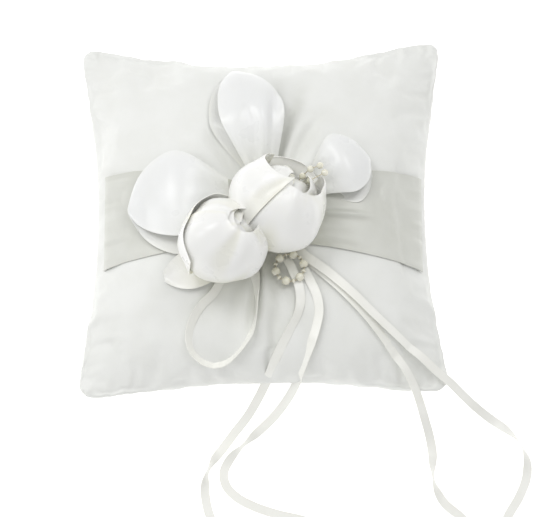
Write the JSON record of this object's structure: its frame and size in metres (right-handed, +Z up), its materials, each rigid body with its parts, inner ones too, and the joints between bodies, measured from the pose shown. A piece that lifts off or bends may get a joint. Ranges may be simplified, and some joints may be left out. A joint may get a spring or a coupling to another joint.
{
  "type": "ring bearer pillow",
  "caption": "Square stuffed satin ceremony cushion with a pinched sash, satin flowers, bow loops, ribbon tails and a faux pearl ring.",
  "frame": {"origin": "on the surface the cushion lies on, under the middle of the cushion (ribbon tails left out)", "axes": "+Z up through the cushion's front, +Y towards the edge behind the flowers, +X to the right seen from above"},
  "size_m": [0.2493, 0.2936, 0.0969],
  "materials": {
    "cover": "ivory satin, low sheen",
    "sash_satin": "bright satin band",
    "filling": "loose polyester fibre",
    "felt": "pressed felt",
    "petal_satin": "satin, shaped petals",
    "loop_satin": "wide satin ribbon",
    "ribbon_satin": "narrow satin ribbon",
    "thread": "sewing thread",
    "pearl": "pearl lustre over moulded plastic",
    "wire": "fine craft wire"
  },
  "bodies": {
    "pillow": {"cover_front": "cover", "cover_back": "cover", "sash": "sash_satin", "stuffing": "filling", "felt_backing": "felt", "bud_foot": "felt", "bloom_foot": "felt", "bud_petal_front": "petal_satin", "bud_petal_left": "petal_satin", "bud_petal_back": "petal_satin", "bud_petal_inner": "petal_satin", "bud_core": "petal_satin", "bud_under_petal": "petal_satin", "bloom_petal_front": "petal_satin", "bloom_petal_left": "petal_satin", "bloom_petal_back": "petal_satin", "bloom_petal_right": "petal_satin", "bloom_core": "petal_satin", "loop_top": "loop_satin", "loop_left": "loop_satin", "loop_right": "loop_satin", "tail_inner_left": "ribbon_satin", "tail_inner_right": "ribbon_satin", "tail_outer_lower": "ribbon_satin", "tail_outer_upper": "ribbon_satin", "loop_narrow": "ribbon_satin", "ring_tie": "thread", "spray_pearl_1": "pearl", "spray_pearl_2": "pearl", "spray_pearl_3": "pearl", "spray_pearl_4": "pearl", "spray_pearl_5": "pearl", "spray_rice_upper": "pearl", "spray_rice_lower": "pearl", "spray_wire_upper": "wire", "spray_wire_lower": "wire"},
    "pearl_ring": {"ring_pearl_1": "pearl", "ring_pearl_2": "pearl", "ring_pearl_3": "pearl", "ring_pearl_4": "pearl", "ring_pearl_5": "pearl", "ring_pearl_6": "pearl", "ring_spacer_1": "pearl", "ring_spacer_2": "pearl", "ring_spacer_3": "pearl", "ring_spacer_4": "pearl", "ring_spacer_5": "pearl", "ring_wire": "wire"}
  },
  "joints": [
    {"name": "ring_swing", "type": "hinge", "parent": "pillow", "child": "pearl_ring", "pos_m": [0.0123, -0.02831, 0.05604], "axis": [-0.964, -0.2607, -0.0519], "range_deg": [0, 55]}
  ]
}
